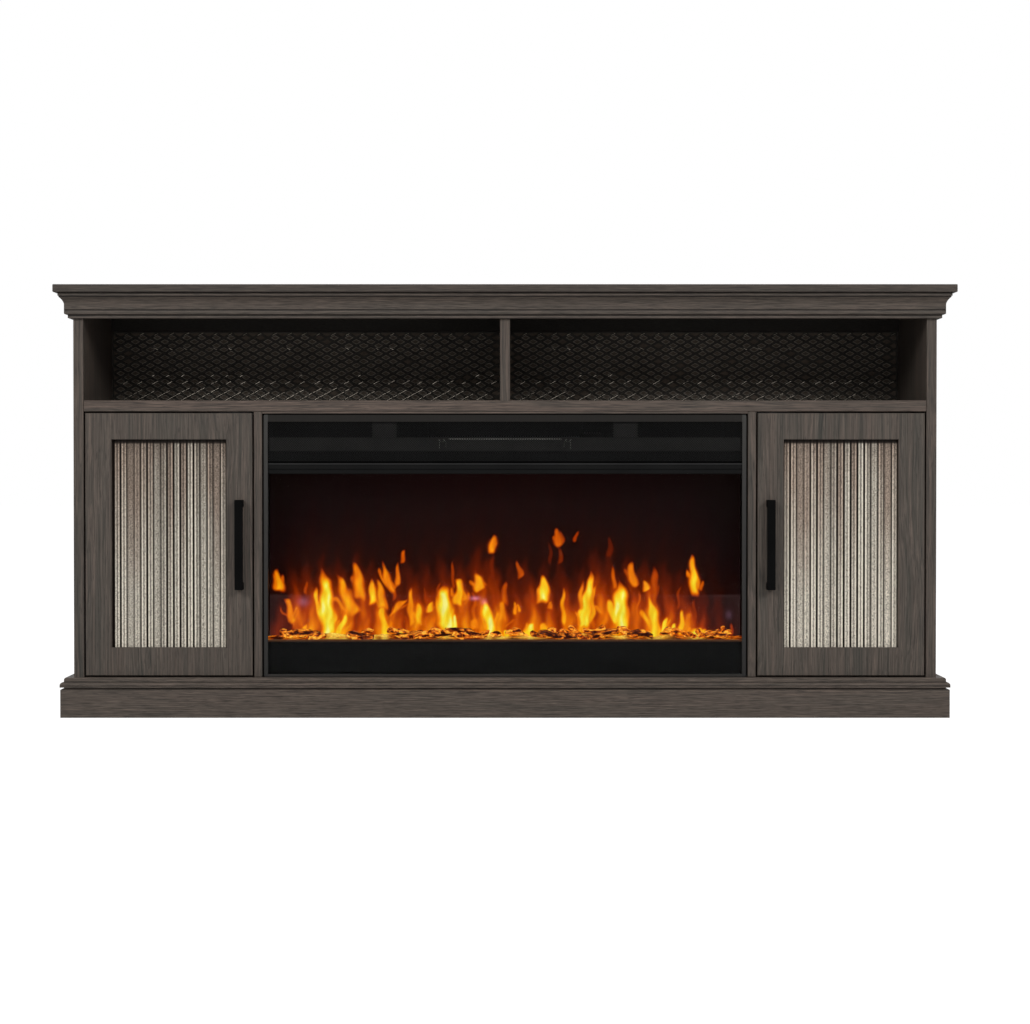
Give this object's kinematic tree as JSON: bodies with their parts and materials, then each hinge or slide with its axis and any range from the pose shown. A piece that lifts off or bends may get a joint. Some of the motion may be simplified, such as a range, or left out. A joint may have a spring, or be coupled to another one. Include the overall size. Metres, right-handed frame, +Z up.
{
  "type": "fireplace tv stand",
  "caption": "Wide media console with an open shelf bay over two reeded-glass doors and a central electric fireplace insert with a heater outlet.",
  "frame": {"origin": "on the floor, under the middle of the stand's bounding box", "axes": "+X to the right seen from the front, +Y from the front to the back, +Z up"},
  "size_m": [1.778, 0.42, 0.854],
  "materials": {
    "wood_laminate": "printed woodgrain laminate, dark grey-brown, satin",
    "wood_edge": "printed woodgrain laminate, a little browner, satin",
    "dark_board": "dark printed hardboard",
    "black_metal": "black powder coat",
    "charcoal_metal": "charcoal satin paint",
    "bright_steel": "zinc-plated steel",
    "reeded_glass": "reeded glass",
    "clear_glass": "tempered glass, lightly tinted",
    "dark_acrylic": "dark acrylic flame screen",
    "ember_resin": "cast resin embers, glowing from below",
    "black_plastic": "moulded black plastic",
    "ceramic": "heating block with fins"
  },
  "bodies": {
    "cabinet": {"top_board": "wood_laminate", "bottom_board": "wood_laminate", "side_panel_left": "wood_laminate", "side_panel_right": "wood_laminate", "inner_upright_left": "wood_laminate", "inner_upright_right": "wood_laminate", "cabinet_shelf_left": "wood_laminate", "cabinet_shelf_right": "wood_laminate", "top_rail_front": "wood_laminate", "toe_rail_front": "wood_laminate", "toe_rail_back": "wood_laminate", "media_divider": "wood_laminate", "base_moulding_front": "wood_laminate", "base_moulding_left": "wood_laminate", "base_moulding_right": "wood_laminate", "plinth_front": "wood_laminate", "plinth_left": "wood_laminate", "plinth_right": "wood_laminate", "media_shelf": "wood_edge", "insert_head_strip": "wood_edge", "crown_front": "wood_edge", "crown_left": "wood_edge", "crown_right": "wood_edge", "back_panel_left": "dark_board", "back_panel_right": "dark_board", "back_panel_upper": "dark_board", "back_rail": "dark_board", "mesh_panel": "black_metal", "lower_fascia": "black_metal", "outlet_mesh": "black_metal", "insert_housing": "black_metal", "insert_trim_frame": "charcoal_metal", "glass_top_trim": "charcoal_metal", "outlet_deflector": "charcoal_metal", "hinge_arm_left_lower": "bright_steel", "hinge_arm_left_upper": "bright_steel", "hinge_arm_right_lower": "bright_steel", "hinge_arm_right_upper": "bright_steel", "reflector_motor": "bright_steel", "blower_housing": "bright_steel", "front_glass": "clear_glass", "flame_screen": "dark_acrylic", "ember_bed": "ember_resin", "lamp_board": "black_plastic", "blower_motor": "black_plastic", "heater_element": "ceramic"},
    "door_left": {"door_left": "wood_laminate", "door_glass_left": "reeded_glass", "glass_retainer_left": "black_plastic", "handle_left": "black_metal", "hinge_cup_left_lower": "bright_steel", "hinge_cup_left_upper": "bright_steel"},
    "door_right": {"door_right": "wood_laminate", "door_glass_right": "reeded_glass", "glass_retainer_right": "black_plastic", "handle_right": "black_metal", "hinge_cup_right_lower": "bright_steel", "hinge_cup_right_upper": "bright_steel"},
    "blower_wheel": {"blower_wheel": "bright_steel"},
    "flame_reflector": {"flame_reflector": "bright_steel"}
  },
  "joints": [
    {"name": "door_left_hinge", "type": "hinge", "parent": "cabinet", "child": "door_left", "pos_m": [-0.8308, -0.175, 0.34175], "axis": [0, 0, -1], "range_deg": [0, 110]},
    {"name": "door_right_hinge", "type": "hinge", "parent": "cabinet", "child": "door_right", "pos_m": [0.8308, -0.175, 0.34175], "axis": [0, 0, 1], "range_deg": [0, 110]},
    {"name": "blower_spin", "type": "hinge", "parent": "cabinet", "child": "blower_wheel", "pos_m": [0, -0.0615, 0.54255], "axis": [1, 0, 0], "continuous": true},
    {"name": "reflector_spin", "type": "hinge", "parent": "cabinet", "child": "flame_reflector", "pos_m": [0, -0.0335, 0.1748], "axis": [1, 0, 0], "continuous": true}
  ]
}
